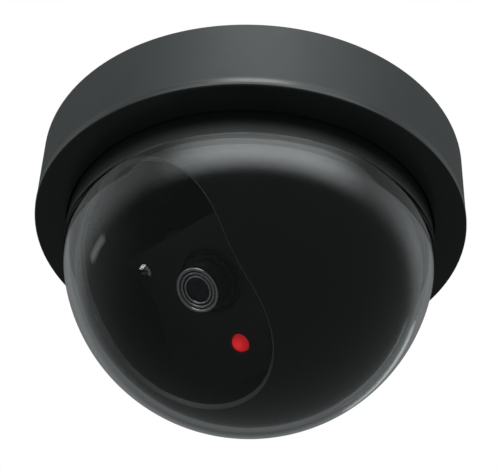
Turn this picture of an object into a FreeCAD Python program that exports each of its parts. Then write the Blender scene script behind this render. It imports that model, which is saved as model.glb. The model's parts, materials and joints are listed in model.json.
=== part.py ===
"""Dome CCTV camera for ceiling mounting, with a fixed lens on a pan and tilt gimbal.

Millimetres, +Z up. The origin is the centre of the face that lies against the ceiling.
The dome hangs down along -Z, and the lens looks out towards -Y.
"""
import FreeCAD
import Part
import math
import os

V = FreeCAD.Vector

# ---- driving dimensions ---------------------------------------------------------------
CASE_R = 59.0            # outer radius of the cover at its lower edge
CASE_H = 21.5            # from the ceiling to the flat underside of the cover
CASE_DRAFT = 0.3         # the cover is this much larger in radius at the ceiling
DOME_R = 50.4            # outer radius of the clear dome
PIVOT_Z = -25.8          # height of the dome's centre, where the pan and tilt axes cross
REST_TILT = 51.6         # degrees that the lens looks below the horizon at rest
LENS_REACH = 30.1        # from the tilt axis to the front of the lens
PLATE_REACH = 22.6       # from the tilt axis to the front of the faceplate
LED_DROP = 18.0          # status lamp below the lens axis, down the faceplate
LED_X = -2.2             # status lamp to the side of the lens axis
LED_PROUD = 1.2          # tip of the status lamp in front of the faceplate

# ---- wall thicknesses and gaps --------------------------------------------------------
CASE_WALL = 2.2
DOME_WALL = 1.5
LINER_WALL = 1.3
MOVING_GAP = 0.3         # between pieces that move past each other
RUNNING_GAP = 0.05       # round a pivot or a thread that turns
SCREW_R = 0.9            # thread of the small screws, and the holes they are driven into
CLEARANCE_R = 1.1        # holes that the small screws pass through

# ---- heights from the ceiling down ----------------------------------------------------
CASE_TOP_Z = -0.3
PLATE_T = 3.0
RIM_BOTTOM_Z = -9.0
POWER_BOARD_TOP_Z = -7.0
BOARD_T = 1.6
RETAINER_TOP_Z = -13.7
RETAINER_T = 1.4
SEAT_TOP_Z = RETAINER_TOP_Z - RETAINER_T - MOVING_GAP
SEAT_T = 2.0
PAN_TOP_Z = SEAT_TOP_Z - SEAT_T - MOVING_GAP
PAN_T = 2.0
PAN_BOTTOM_Z = PAN_TOP_Z - PAN_T
FLANGE_T = 1.5
CASE_FLOOR_TOP_Z = -CASE_H + CASE_WALL
BEZEL_FLANGE_T = 1.4
GASKET_T = 0.6
DOME_FLANGE_T = 1.2
CLAMP_T = 2.0
BEZEL_LIP_Z = -28.6

# ---- radii ----------------------------------------------------------------------------
CASE_OPENING_R = 50.4
CASE_EDGE_R = 1.2
BEZEL_ROOT_R = 50.0
BEZEL_LIP_R = 50.3
BEZEL_BORE_R = 49.3
COLLAR_R = 52.2          # flanges of bezel, gasket and dome that the cover holds
SPIGOT_R = 49.2
SPIGOT_BORE_R = 48.4
CLAMP_BORE_R = 49.0
CLAMP_R = 56.4
CLAMP_PCD_R = 54.6
CLAMP_BOSS_R = 2.35
LINER_R = 47.5
SLOT_HALF = 22.6
SLOT_END_Y = -23.5       # centre of the round lower end of the slot, seen from below
SLOT_ARCH_Z = -50.0      # centre of the round upper end of the slot, seen from the front
MOUNT_R = 56.3
RIM_BORE_R = 54.5
CEILING_HOLE_R = 2.25
CEILING_PCD_R = 48.0
CABLE_HOLE_R = 7.0
CABLE_BORE_R = 3.5
SEAT_BORE_R = 37.0
SEAT_R = 46.0
POST_R = 2.2
POST_PCD_R = 43.2
HUB_R = SEAT_BORE_R - MOVING_GAP
HUB_BORE_R = 33.5
RETAINER_R = 40.4
PAN_R = 44.5
POWER_BOARD_R = 31.0
STANDOFF_PCD_R = 27.0
STANDOFF_R = 2.6
LINER_SCREW_PCD_R = 42.5
RETAINER_SCREW_PCD_R = 35.1
PART_H = 4.4             # tallest parts under the power board

# ---- gimbal and camera module, across and along the lens axis --------------------------
CHEEK_IN = 17.2
CHEEK_OUT = 19.0
YOKE_IN = 19.5
YOKE_OUT = 21.5
YOKE_HALF_W = 6.5
YOKE_FOOT_X = 38.0
YOKE_SCREW_X = 36.0
YOKE_SCREW_Y = 4.2
CHEEK_R = 6.0
CHEEK_TOP = 13.5
CHEEK_DROP = 14.5
WEB_DROP = 24.5
PIVOT_R = 2.0
CRADLE_T = 1.5
FACE_T = 1.5
BOARD_FRONT = 11.6
BOARD_HALF_X = 16.0
BOARD_TOP = 14.0
BOARD_DROP = 22.0
BOARD_POST_AT = 13.0
LENS_R = 6.0
LENS_HEAD_R = 6.2
HOLDER_R = 8.0
HOLDER_FRONT = 21.8
LED_R = 2.5
FACE_SCREW_X = 16.2
FACE_SCREW_UP = 9.9
# right half of the faceplate outline, (across, up): straight sides, flare, bevelled lower corner
FACE_HALF = ((19.5, 15.0), (19.5, 0.0), (24.5, -14.0), (24.5, -17.5), (16.0, -26.0), (10.0, -27.5))

CEILING_HOLE_ANGLES = (30, 150, 270)
POST_ANGLES = (90, 210, 330)
CLAMP_ANGLES = (0, 60, 120, 180, 240, 300)
STANDOFF_ANGLES = (40, 150, 270)
RETAINER_ANGLES = (15, 105, 195, 285)
LINER_ANGLES = (50, 130, 230, 310)
PAD_ANGLES = (0, 120, 240)


# ---- shared shapes --------------------------------------------------------------------
def polar(radius, angle, z):
    """Point at a radius and an angle in degrees round the pan axis."""
    turn = math.radians(angle)
    return V(radius * math.cos(turn), radius * math.sin(turn), z)


def block(x0, x1, y0, y1, z0, z1):
    return Part.makeBox(x1 - x0, y1 - y0, z1 - z0, V(x0, y0, z0))


def rod(radius, start, end):
    along = end - start
    return Part.makeCylinder(radius, along.Length, start, along)


def upright(radius, pcd_r, angle, z0, z1):
    """Vertical rod or hole at a radius and an angle round the pan axis."""
    return rod(radius, polar(pcd_r, angle, z0), polar(pcd_r, angle, z1))


def ring(outer, bore, z0, z1):
    """Flat ring round the pan axis between two heights."""
    body = rod(outer, V(0, 0, z0), V(0, 0, z1))
    return body.cut(rod(bore, V(0, 0, z0 - 1), V(0, 0, z1 + 1)))


def turned(edges):
    """Solid turned round the pan axis from edges in the XZ plane."""
    face = Part.Face(Part.Wire(edges))
    return face.revolve(V(0, 0, 0), V(0, 0, 1), 360)


def lines(points):
    """Straight edges through (radius, z) points."""
    return [Part.makeLine(V(a[0], 0, a[1]), V(b[0], 0, b[1])) for a, b in zip(points, points[1:])]


def arc(start, middle, end):
    """Round edge through three (radius, z) points."""
    return Part.Arc(V(start[0], 0, start[1]), V(middle[0], 0, middle[1]), V(end[0], 0, end[1])).toShape()


def prism(points, axis_x0, axis_x1):
    """Plate across X with a (y, z) outline."""
    corners = [V(axis_x0, y, z) for y, z in points]
    face = Part.Face(Part.makePolygon(corners + corners[:1]))
    return face.extrude(V(axis_x1 - axis_x0, 0, 0))


def on_sphere(radius, distance_from_axis):
    """Height of the lower half of a sphere round the pivot, at a distance from the pan axis."""
    return PIVOT_Z - math.sqrt(radius ** 2 - distance_from_axis ** 2)


def radius_at(sphere_radius, z):
    return math.sqrt(sphere_radius ** 2 - (PIVOT_Z - z) ** 2)


def screw(seat, tip_direction, head_r, head_h, shank_r, shank_length):
    """Pan-head screw with a cross recess; seat is the centre of the underside of its head."""
    inward = V(tip_direction)
    inward.normalize()
    head_top = seat - inward * head_h
    body = rod(head_r, head_top, seat)
    body = body.fuse(rod(shank_r, seat, seat + inward * shank_length))
    side = inward.cross(V(0.0, 0.0, 1.0))
    if side.Length < 0.5:
        side = V(1, 0, 0)
    side.normalize()
    other = inward.cross(side)
    arm = head_r * 0.62
    blade = head_r * 0.13
    depth = head_h * 0.55
    for along, across in ((side, other), (other, side)):
        corner = head_top - along * arm - across * blade - inward * 0.1
        corners = [corner, corner + along * 2 * arm, corner + along * 2 * arm + across * 2 * blade,
                   corner + across * 2 * blade]
        face = Part.Face(Part.makePolygon(corners + corners[:1]))
        body = body.cut(face.extrude(inward * (depth + 0.1)))
    return body.removeSplitter()


def group(shapes):
    return Part.makeCompound(shapes)


def in_module(x, up, out):
    """Point of the camera module: across, up the faceplate and out along the lens axis."""
    return V(x, -out, up)


def along_lens(radius, x, up, out0, out1):
    """Rod or hole parallel to the lens axis."""
    return rod(radius, in_module(x, up, out0), in_module(x, up, out1))


def tilted(shape):
    """Place a piece of the camera module at its rest tilt on the pivot."""
    placed = shape.copy()
    placed.rotate(V(0, 0, 0), V(1, 0, 0), REST_TILT)
    placed.translate(V(0, 0, PIVOT_Z))
    return placed


# ---- base: stays on the ceiling ---------------------------------------------------------
def mounting_plate():
    plate = rod(MOUNT_R, V(0, 0, -PLATE_T), V(0, 0, 0))
    plate = plate.fuse(ring(MOUNT_R, RIM_BORE_R, RIM_BOTTOM_Z, -PLATE_T))
    for angle in CEILING_HOLE_ANGLES:
        boss = upright(5.0, CEILING_PCD_R, angle, -PLATE_T - 1.0, -PLATE_T)
        plate = plate.fuse(boss)
    for angle in CEILING_HOLE_ANGLES:
        plate = plate.cut(upright(CEILING_HOLE_R, CEILING_PCD_R, angle, -5, 1))
    for angle in POST_ANGLES:
        plate = plate.cut(upright(1.25, POST_PCD_R, angle, -4, 1))
        plate = plate.cut(upright(2.6, POST_PCD_R, angle, -1.7, 1))
    for angle in STANDOFF_ANGLES:
        plate = plate.cut(upright(1.25, STANDOFF_PCD_R, angle, -4, 1))
    for angle in PAD_ANGLES:
        plate = plate.cut(pad_at(angle))
    return plate.cut(rod(CABLE_HOLE_R, V(0, 0, -5), V(0, 0, 1))).removeSplitter()


def pad_at(angle):
    """Rubber pad let into the rim, just short of the inner wall of the cover."""
    reach = MOUNT_R + 0.35
    outer = rod(reach, V(0, 0, -7.5), V(0, 0, -4.0))
    wedge = block(MOUNT_R - 1.0, MOUNT_R + 2.0, -6.0, 6.0, -8.0, -3.5)
    wedge.rotate(V(0, 0, 0), V(0, 0, 1), angle)
    return outer.common(wedge)


def grip_pads():
    return group([pad_at(angle) for angle in PAD_ANGLES])


def cable_grommet():
    """Rubber bush in the centre hole, with a lip on the lower side."""
    bush = ring(CABLE_HOLE_R, CABLE_BORE_R, -PLATE_T, -0.2)
    lip = ring(CABLE_HOLE_R + 1.8, CABLE_BORE_R, -PLATE_T - 1.4, -PLATE_T)
    return bush.fuse(lip).removeSplitter()


def gimbal_seat():
    seat = ring(SEAT_R, SEAT_BORE_R, SEAT_TOP_Z - SEAT_T, SEAT_TOP_Z)
    for angle in POST_ANGLES:
        seat = seat.fuse(upright(POST_R, POST_PCD_R, angle, SEAT_TOP_Z - 1, -PLATE_T))
        seat = seat.cut(upright(1.0, POST_PCD_R, angle, -PLATE_T - 7, 0))
    return seat.removeSplitter()


def seat_screws():
    down = V(0, 0, -1)
    return group([screw(polar(POST_PCD_R, angle, -1.7), down, 2.4, 1.5, 1.0, 7.5) for angle in POST_ANGLES])


def board_standoffs():
    """Brass hexagon spacers with a stud in the plate and a thread for the board's screws."""
    spacers = []
    for angle in STANDOFF_ANGLES:
        corners = []
        for side in range(7):
            turn = math.radians(60 * side)
            offset = V(STANDOFF_R * math.cos(turn), STANDOFF_R * math.sin(turn), 0)
            corners.append(polar(STANDOFF_PCD_R, angle, -PLATE_T) + offset)
        spacer = Part.Face(Part.makePolygon(corners)).extrude(V(0, 0, POWER_BOARD_TOP_Z + PLATE_T))
        spacer = spacer.fuse(upright(1.25, STANDOFF_PCD_R, angle, -PLATE_T, -0.4))
        spacer = spacer.cut(upright(1.0, STANDOFF_PCD_R, angle, -9, -PLATE_T - 0.5))
        spacers.append(spacer)
    return group(spacers)


def power_board():
    board = ring(POWER_BOARD_R, 9.5, POWER_BOARD_TOP_Z - BOARD_T, POWER_BOARD_TOP_Z)
    for angle in STANDOFF_ANGLES:
        board = board.cut(upright(1.2, STANDOFF_PCD_R, angle, -10, -6))
    return board


def power_board_screws():
    seat_z = POWER_BOARD_TOP_Z - BOARD_T
    return group([screw(polar(STANDOFF_PCD_R, angle, seat_z), V(0, 0, 1), 2.2, 1.4, 1.0, 4.5)
                  for angle in STANDOFF_ANGLES])


def power_terminal():
    """Two-way screw terminal for the supply, under the power board."""
    top = POWER_BOARD_TOP_Z - BOARD_T
    body = block(-5.2, 5.2, 20.5, 28.0, top - PART_H, top)
    for x in (-2.54, 2.54):
        body = body.cut(rod(1.5, V(x, 24.3, top - 5.0), V(x, 24.3, top - 3.2)))
        body = body.cut(block(x - 1.4, x + 1.4, 26.0, 29.0, top - 3.4, top - 1.0))
    return body


def video_connector():
    """Four-way shrouded header for the lead to the camera board."""
    top = POWER_BOARD_TOP_Z - BOARD_T
    shroud = block(-28.5, -23.5, -5.5, 5.5, top - PART_H, top)
    shroud = shroud.cut(block(-27.7, -24.3, -4.7, 4.7, top - 5.0, top - 1.0))
    for pin in range(4):
        y = -3.0 + 2.0 * pin
        shroud = shroud.fuse(block(-26.3, -25.7, y - 0.3, y + 0.3, top - 4.0, top - 0.9))
    return shroud.removeSplitter()


def filter_capacitors():
    top = POWER_BOARD_TOP_Z - BOARD_T
    cans = []
    for angle in (-18, 6):
        foot = polar(25.5, angle, top)
        can = rod(3.1, foot, foot + V(0, 0, -4.4))
        rim = [edge for edge in can.Edges if edge.CenterOfMass.z < top - PART_H + 0.01]
        cans.append(can.makeFillet(0.4, rim))
    return group(cans)


def power_inductor():
    top = POWER_BOARD_TOP_Z - BOARD_T
    body = block(-17.5, -10.5, -24.5, -17.5, top - 4.0, top)
    uprights = [edge for edge in body.Edges if abs(edge.tangentAt(edge.FirstParameter).z) > 0.9]
    return body.makeFillet(1.4, uprights)


# ---- cover: comes away downwards with the dome ------------------------------------------
def housing_cover():
    top_r = CASE_R + CASE_DRAFT
    bore_r = CASE_R - CASE_WALL
    edge = CASE_EDGE_R
    diagonal = edge * (1 - math.sqrt(0.5))
    inner = lines([(CASE_R, -CASE_H + edge), (top_r, CASE_TOP_Z), (top_r - CASE_WALL, CASE_TOP_Z),
                   (bore_r, CASE_FLOOR_TOP_Z), (CASE_OPENING_R, CASE_FLOOR_TOP_Z), (CASE_OPENING_R, -CASE_H),
                   (CASE_R - edge, -CASE_H)])
    corner = arc((CASE_R - edge, -CASE_H), (CASE_R - diagonal, -CASE_H + diagonal), (CASE_R, -CASE_H + edge))
    cover = turned(inner + [corner])
    for angle in CLAMP_ANGLES:
        cover = cover.fuse(upright(CLAMP_BOSS_R, CLAMP_PCD_R, angle, CASE_FLOOR_TOP_Z - 0.5, clamp_bottom()))
    for angle in CLAMP_ANGLES:
        cover = cover.cut(upright(SCREW_R, CLAMP_PCD_R, angle, CASE_FLOOR_TOP_Z - 0.8, 0))
    return cover.removeSplitter()


def clamp_bottom():
    return CASE_FLOOR_TOP_Z + BEZEL_FLANGE_T + GASKET_T + DOME_FLANGE_T


def dome_bezel():
    """Black collar round the foot of the dome, held by a flange inside the cover."""
    flange_top = CASE_FLOOR_TOP_Z + BEZEL_FLANGE_T
    outline = [(BEZEL_BORE_R, BEZEL_LIP_Z), (BEZEL_LIP_R, BEZEL_LIP_Z), (BEZEL_ROOT_R, -CASE_H),
               (BEZEL_ROOT_R, CASE_FLOOR_TOP_Z), (COLLAR_R, CASE_FLOOR_TOP_Z), (COLLAR_R, flange_top),
               (BEZEL_BORE_R, flange_top), (BEZEL_BORE_R, BEZEL_LIP_Z)]
    return turned(lines(outline))


def dome_gasket():
    low = CASE_FLOOR_TOP_Z + BEZEL_FLANGE_T
    return ring(COLLAR_R, BEZEL_BORE_R, low, low + GASKET_T)


def dome():
    """Clear half ball with a spigot inside the bezel and a flange under the clamp ring."""
    bore = DOME_R - DOME_WALL
    flange_low = CASE_FLOOR_TOP_Z + BEZEL_FLANGE_T + GASKET_T
    flange_high = flange_low + DOME_FLANGE_T
    diagonal = math.sqrt(0.5)
    shoulder_z = BEZEL_LIP_Z
    outer_start = (radius_at(DOME_R, shoulder_z), shoulder_z)
    inner_end = (SPIGOT_BORE_R, on_sphere(bore, SPIGOT_BORE_R))
    edges = lines([inner_end, (SPIGOT_BORE_R, flange_high), (COLLAR_R, flange_high), (COLLAR_R, flange_low),
                   (SPIGOT_R, flange_low), (SPIGOT_R, shoulder_z), outer_start])
    edges.append(arc(outer_start, (DOME_R * diagonal, PIVOT_Z - DOME_R * diagonal), (0, PIVOT_Z - DOME_R)))
    edges += lines([(0, PIVOT_Z - DOME_R), (0, PIVOT_Z - bore)])
    edges.append(arc((0, PIVOT_Z - bore), (bore * diagonal, PIVOT_Z - bore * diagonal), inner_end))
    return turned(edges)


def clamp_ring():
    low = clamp_bottom()
    body = ring(CLAMP_R, CLAMP_BORE_R, low, low + CLAMP_T)
    for angle in CLAMP_ANGLES:
        body = body.cut(upright(CLEARANCE_R, CLAMP_PCD_R, angle, low - 1, 0))
    return body


def clamp_ring_screws():
    seat_z = clamp_bottom() + CLAMP_T
    return group([screw(polar(CLAMP_PCD_R, angle, seat_z), V(0, 0, -1), 1.9, 1.4, SCREW_R, 5.2)
                  for angle in CLAMP_ANGLES])


# ---- pan stage: turns round the vertical axis --------------------------------------------
def pan_ring():
    body = ring(PAN_R, HUB_BORE_R, PAN_BOTTOM_Z, PAN_TOP_Z)
    body = body.fuse(ring(HUB_R, HUB_BORE_R, PAN_TOP_Z - 0.5, RETAINER_TOP_Z - RETAINER_T))
    for angle in LINER_ANGLES:
        body = body.cut(upright(SCREW_R, LINER_SCREW_PCD_R, angle, PAN_BOTTOM_Z - 1, PAN_TOP_Z - 0.4))
    for angle in RETAINER_ANGLES:
        body = body.cut(upright(0.7, RETAINER_SCREW_PCD_R, angle, PAN_TOP_Z - 0.5, 0))
    for x in (-YOKE_SCREW_X, YOKE_SCREW_X):
        for y in (-YOKE_SCREW_Y, YOKE_SCREW_Y):
            body = body.cut(rod(SCREW_R, V(x, y, PAN_BOTTOM_Z - 1), V(x, y, PAN_TOP_Z - 0.4)))
    return body.removeSplitter()


def pan_retainer():
    """Ring that keeps the pan stage in its seat and sets the turning friction."""
    low = RETAINER_TOP_Z - RETAINER_T
    body = ring(RETAINER_R, HUB_BORE_R, low, RETAINER_TOP_Z)
    for angle in RETAINER_ANGLES:
        body = body.cut(upright(0.85, RETAINER_SCREW_PCD_R, angle, low - 1, 0))
    return body


def retainer_screws():
    return group([screw(polar(RETAINER_SCREW_PCD_R, angle, RETAINER_TOP_Z), V(0, 0, -1), 1.5, 1.0, 0.7, 3.4)
                  for angle in RETAINER_ANGLES])


def liner():
    """Inner black ball with a slot for the lens, round at both ends, turning with the pan stage."""
    bore = LINER_R - LINER_WALL
    diagonal = math.sqrt(0.5)
    flange_bore = 40.2
    top = PAN_BOTTOM_Z
    edges = lines([(LINER_R, PIVOT_Z), (LINER_R, top), (flange_bore, top), (flange_bore, top - FLANGE_T),
                   (bore, top - FLANGE_T), (bore, PIVOT_Z)])
    edges.append(arc((bore, PIVOT_Z), (bore * diagonal, PIVOT_Z - bore * diagonal), (0, PIVOT_Z - bore)))
    edges += lines([(0, PIVOT_Z - bore), (0, PIVOT_Z - LINER_R)])
    outer_middle = (LINER_R * diagonal, PIVOT_Z - LINER_R * diagonal)
    edges.append(arc((0, PIVOT_Z - LINER_R), outer_middle, (LINER_R, PIVOT_Z)))
    shell = turned(edges)
    far_y = -LINER_R - 5
    low = PIVOT_Z - LINER_R - 5
    slot = block(-SLOT_HALF, SLOT_HALF, far_y, SLOT_END_Y, low, SLOT_ARCH_Z)
    slot = slot.fuse(rod(SLOT_HALF, V(0, SLOT_END_Y, low), V(0, SLOT_END_Y, SLOT_ARCH_Z)))
    slot = slot.fuse(rod(SLOT_HALF, V(0, far_y, SLOT_ARCH_Z), V(0, SLOT_END_Y, SLOT_ARCH_Z)))
    shell = shell.cut(slot)
    for angle in LINER_ANGLES:
        shell = shell.cut(upright(CLEARANCE_R, LINER_SCREW_PCD_R, angle, top - 3, top + 1))
    return shell.removeSplitter()


def liner_screws():
    seat_z = PAN_BOTTOM_Z - FLANGE_T
    return group([screw(polar(LINER_SCREW_PCD_R, angle, seat_z), V(0, 0, 1), 1.8, 1.2, SCREW_R, 3.0)
                  for angle in LINER_ANGLES])


def yoke(side):
    """Steel arm that hangs from the pan ring and carries one end of the tilt axis."""
    foot_low = PAN_BOTTOM_Z - FLANGE_T
    arm = block(YOKE_IN, YOKE_OUT, -YOKE_HALF_W, YOKE_HALF_W, PIVOT_Z, PAN_BOTTOM_Z)
    arm = arm.fuse(rod(YOKE_HALF_W, V(YOKE_IN, 0, PIVOT_Z), V(YOKE_OUT, 0, PIVOT_Z)))
    foot = block(YOKE_IN, YOKE_FOOT_X, -YOKE_HALF_W, YOKE_HALF_W, foot_low, PAN_BOTTOM_Z)
    arm = arm.fuse(foot)
    arm = arm.cut(rod(PIVOT_R + RUNNING_GAP, V(YOKE_IN - 1, 0, PIVOT_Z), V(YOKE_OUT + 1, 0, PIVOT_Z)))
    for y in (-YOKE_SCREW_Y, YOKE_SCREW_Y):
        foot_hole = rod(CLEARANCE_R, V(YOKE_SCREW_X, y, foot_low - 1), V(YOKE_SCREW_X, y, PAN_BOTTOM_Z + 1))
        arm = arm.cut(foot_hole)
    arm = arm.removeSplitter()
    return arm if side > 0 else arm.mirror(V(0, 0, 0), V(1, 0, 0))


def yoke_screws():
    seat_z = PAN_BOTTOM_Z - FLANGE_T
    return group([screw(V(side * YOKE_SCREW_X, y, seat_z), V(0, 0, 1), 1.8, 1.2, SCREW_R, 3.0)
                  for side in (-1, 1) for y in (-YOKE_SCREW_Y, YOKE_SCREW_Y)])


# ---- camera module: tilts on the yokes ---------------------------------------------------
def tilt_cradle():
    """Bent bracket: two cheeks on the tilt axis and a front web behind the faceplate."""
    web_back = PLATE_REACH - FACE_T - CRADLE_T
    web_front = PLATE_REACH - FACE_T
    neck = -web_back + 2
    outline = [(0, CHEEK_R), (neck, CHEEK_TOP), (-web_front, CHEEK_TOP), (-web_front, -CHEEK_DROP),
               (neck, -CHEEK_DROP), (0, -CHEEK_R)]
    body = block(-CHEEK_OUT, CHEEK_OUT, -web_front, -web_back, -WEB_DROP, CHEEK_TOP)
    for side in (-1, 1):
        cheek = prism(outline, side * CHEEK_IN, side * CHEEK_OUT)
        cheek = cheek.fuse(rod(CHEEK_R, V(side * CHEEK_IN, 0, 0), V(side * CHEEK_OUT, 0, 0)))
        cheek = cheek.cut(rod(PIVOT_R, V(side * (CHEEK_IN - 1), 0, 0), V(side * (CHEEK_OUT + 1), 0, 0)))
        cheek = cheek.cut(rod(2.4, V(side * (CHEEK_IN - 1), -11.5, 0), V(side * (CHEEK_OUT + 1), -11.5, 0)))
        body = body.fuse(cheek)
    for x in (-BOARD_POST_AT, BOARD_POST_AT):
        for up in (-BOARD_POST_AT, BOARD_POST_AT - 1.5):
            body = body.fuse(along_lens(1.9, x, up, web_back + 0.5, BOARD_FRONT))
            body = body.cut(along_lens(SCREW_R, x, up, web_back - 0.5, BOARD_FRONT - 1))
    body = body.cut(along_lens(HOLDER_R + 0.8, 0, 0, web_back - 1, web_front + 1))
    body = body.cut(along_lens(4.3, LED_X, -LED_DROP, web_back - 1, web_front + 1))
    for x in (-FACE_SCREW_X, FACE_SCREW_X):
        body = body.cut(along_lens(SCREW_R, x, FACE_SCREW_UP, web_back - 2.5, web_front + 1))
    return body.removeSplitter()


def faceplate():
    """Black plate round the lens, flared and bevelled at its lower corners."""
    outline = list(FACE_HALF) + [(-x, up) for x, up in reversed(FACE_HALF)]
    corners = [in_module(x, up, PLATE_REACH - FACE_T) for x, up in outline]
    plate = Part.Face(Part.makePolygon(corners + corners[:1])).extrude(V(0, -FACE_T, 0))
    plate = plate.cut(along_lens(HOLDER_R + 0.5, 0, 0, 15, 30))
    plate = plate.cut(along_lens(LED_R + 0.1, LED_X, -LED_DROP, 15, 30))
    for x in (-FACE_SCREW_X, FACE_SCREW_X):
        plate = plate.cut(along_lens(CLEARANCE_R, x, FACE_SCREW_UP, 15, 30))
    return plate


def faceplate_screws():
    return group([screw(in_module(x, FACE_SCREW_UP, PLATE_REACH), V(0, 1, 0), 1.9, 1.3, SCREW_R, 3.6)
                  for x in (-FACE_SCREW_X, FACE_SCREW_X)])


def camera_board():
    back = BOARD_FRONT - BOARD_T
    board = block(-BOARD_HALF_X, BOARD_HALF_X, -BOARD_FRONT, -back, -BOARD_DROP, BOARD_TOP)
    for x in (-BOARD_POST_AT, BOARD_POST_AT):
        for up in (-BOARD_POST_AT, BOARD_POST_AT - 1.5):
            board = board.cut(along_lens(CLEARANCE_R, x, up, back - 1, BOARD_FRONT + 1))
    for x in (LED_X - 1.27, LED_X + 1.27):
        board = board.cut(along_lens(0.35, x, -LED_DROP, back - 1, BOARD_FRONT + 1))
    return board


def camera_board_screws():
    back = BOARD_FRONT - BOARD_T
    return group([screw(in_module(x, up, back), V(0, -1, 0), 1.9, 1.3, SCREW_R, 5.0)
                  for x in (-BOARD_POST_AT, BOARD_POST_AT) for up in (-BOARD_POST_AT, BOARD_POST_AT - 1.5)])


def camera_connector():
    """Header for the lead from the power board, on the back of the camera board."""
    back = BOARD_FRONT - BOARD_T
    shroud = block(-5.0, 5.0, -back, -back + 4.0, 4.0, 9.0)
    shroud = shroud.cut(block(-4.3, 4.3, -back + 1.0, -back + 5.0, 4.7, 8.3))
    for pin in range(4):
        x = -3.0 + 2.0 * pin
        shroud = shroud.fuse(block(x - 0.3, x + 0.3, -back + 0.9, -back + 3.6, 6.2, 6.8))
    return shroud.removeSplitter()


def signal_processor():
    back = BOARD_FRONT - BOARD_T
    return block(-5.0, 5.0, -back, -back + 1.2, -10.0, 0.0)


def image_sensor():
    return block(-3.6, 3.6, -BOARD_FRONT - 1.0, -BOARD_FRONT, -3.0, 3.0)


def ir_filter():
    return block(-4.0, 4.0, -BOARD_FRONT - 1.8, -BOARD_FRONT - 1.3, -4.0, 4.0)


def lens_holder():
    """Threaded tube over the sensor, with a square foot on the camera board."""
    foot = block(-8.0, 8.0, -BOARD_FRONT - 2.4, -BOARD_FRONT, -8.0, 8.0)
    body = foot.fuse(along_lens(HOLDER_R, 0, 0, BOARD_FRONT, HOLDER_FRONT))
    body = body.cut(block(-4.5, 4.5, -BOARD_FRONT - 1.8, -BOARD_FRONT + 1, -4.5, 4.5))
    body = body.cut(along_lens(3.2, 0, 0, BOARD_FRONT, HOLDER_FRONT))
    body = body.cut(along_lens(LENS_R + RUNNING_GAP, 0, 0, BOARD_FRONT + 2.8, HOLDER_FRONT + 1))
    return body.removeSplitter()


def lens_lock_ring():
    """Notched ring that locks the focus thread against the holder."""
    front = HOLDER_FRONT + 2.2
    body = along_lens(7.6, 0, 0, HOLDER_FRONT + 0.1, front)
    body = body.cut(along_lens(LENS_R + RUNNING_GAP, 0, 0, HOLDER_FRONT - 1, front + 1))
    for notch in range(12):
        turn = math.radians(30 * notch)
        x = 7.9 * math.cos(turn)
        up = 7.9 * math.sin(turn)
        body = body.cut(along_lens(0.6, x, up, HOLDER_FRONT - 1, front + 1))
    return body


def status_led():
    """Five millimetre lamp: flange, clear red body with a round tip, and two leads."""
    tip = PLATE_REACH + LED_PROUD
    body = along_lens(LED_R, LED_X, -LED_DROP, tip - 7.6, tip - LED_R)
    body = body.fuse(Part.makeSphere(LED_R, in_module(LED_X, -LED_DROP, tip - LED_R)))
    body = body.fuse(along_lens(2.9, LED_X, -LED_DROP, tip - 8.6, tip - 7.6))
    for x in (LED_X - 1.27, LED_X + 1.27):
        lead = along_lens(0.25, x, -LED_DROP, BOARD_FRONT - BOARD_T - 1, tip - 8.4)
        body = body.fuse(lead)
    return body.removeSplitter()


def led_holder():
    """Black bush that clips the lamp behind the faceplate."""
    front = PLATE_REACH - FACE_T
    bush = along_lens(4.0, LED_X, -LED_DROP, front - 3.0, front)
    return bush.cut(along_lens(LED_R, LED_X, -LED_DROP, front - 4, front + 1))


def pivot_washers():
    """Nylon friction washers between the cheeks and the yokes."""
    washers = []
    for side in (-1, 1):
        near = V(side * CHEEK_OUT, 0, 0)
        far = V(side * (YOKE_IN - RUNNING_GAP), 0, 0)
        washers.append(rod(5.0, near, far).cut(rod(PIVOT_R, near - V(side, 0, 0), far + V(side, 0, 0))))
    return group(washers)


def pivot_screw():
    seat = V(YOKE_OUT + RUNNING_GAP, 0, 0)
    return screw(seat, V(-1, 0, 0), 3.6, 1.8, PIVOT_R, seat.x - CHEEK_IN)


def tilt_lock_screw():
    """Knurled thumb screw that clamps the tilt."""
    seat = V(-YOKE_OUT - RUNNING_GAP, 0, 0)
    outer = seat + V(-3.4, 0, 0)
    body = rod(4.2, outer, seat).fuse(rod(PIVOT_R, seat, V(-CHEEK_IN, 0, 0)))
    for notch in range(18):
        turn = math.radians(20 * notch)
        offset = V(0, 4.3 * math.cos(turn), 4.3 * math.sin(turn))
        body = body.cut(rod(0.35, outer + offset + V(-1, 0, 0), seat + offset + V(0.5, 0, 0)))
    body = body.cut(block(outer.x - 1, outer.x + 1.0, -5, 5, -0.5, 0.5))
    return body.removeSplitter()


# ---- lens: turns in the holder to focus --------------------------------------------------
def lens_turned(points):
    """Solid turned round the lens axis from (radius, out) points."""
    face = Part.Face(Part.makePolygon([in_module(r, 0, out) for r, out in points + points[:1]]))
    return face.revolve(V(0, 0, 0), V(0, 1, 0), 360)


def lens_barrel():
    rear = BOARD_FRONT + 3.4
    head = HOLDER_FRONT + 2.5
    return lens_turned([(LENS_R, rear), (LENS_R, head), (LENS_HEAD_R, head), (LENS_HEAD_R, LENS_REACH - 0.4),
                        (LENS_HEAD_R - 0.4, LENS_REACH), (5.3, LENS_REACH), (5.3, LENS_REACH - 1.2),
                        (4.6, LENS_REACH - 1.2), (4.6, LENS_REACH - 3.2), (3.4, LENS_REACH - 3.2),
                        (3.4, rear + 2.0), (4.4, rear + 2.0), (4.4, rear)])


def lens_front_ring():
    """Threaded ring that holds the front glass."""
    return lens_turned([(5.3, LENS_REACH - 1.2), (5.3, LENS_REACH - 0.2), (4.3, LENS_REACH - 0.2),
                        (3.7, LENS_REACH - 1.0), (3.7, LENS_REACH - 1.2)])


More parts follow.
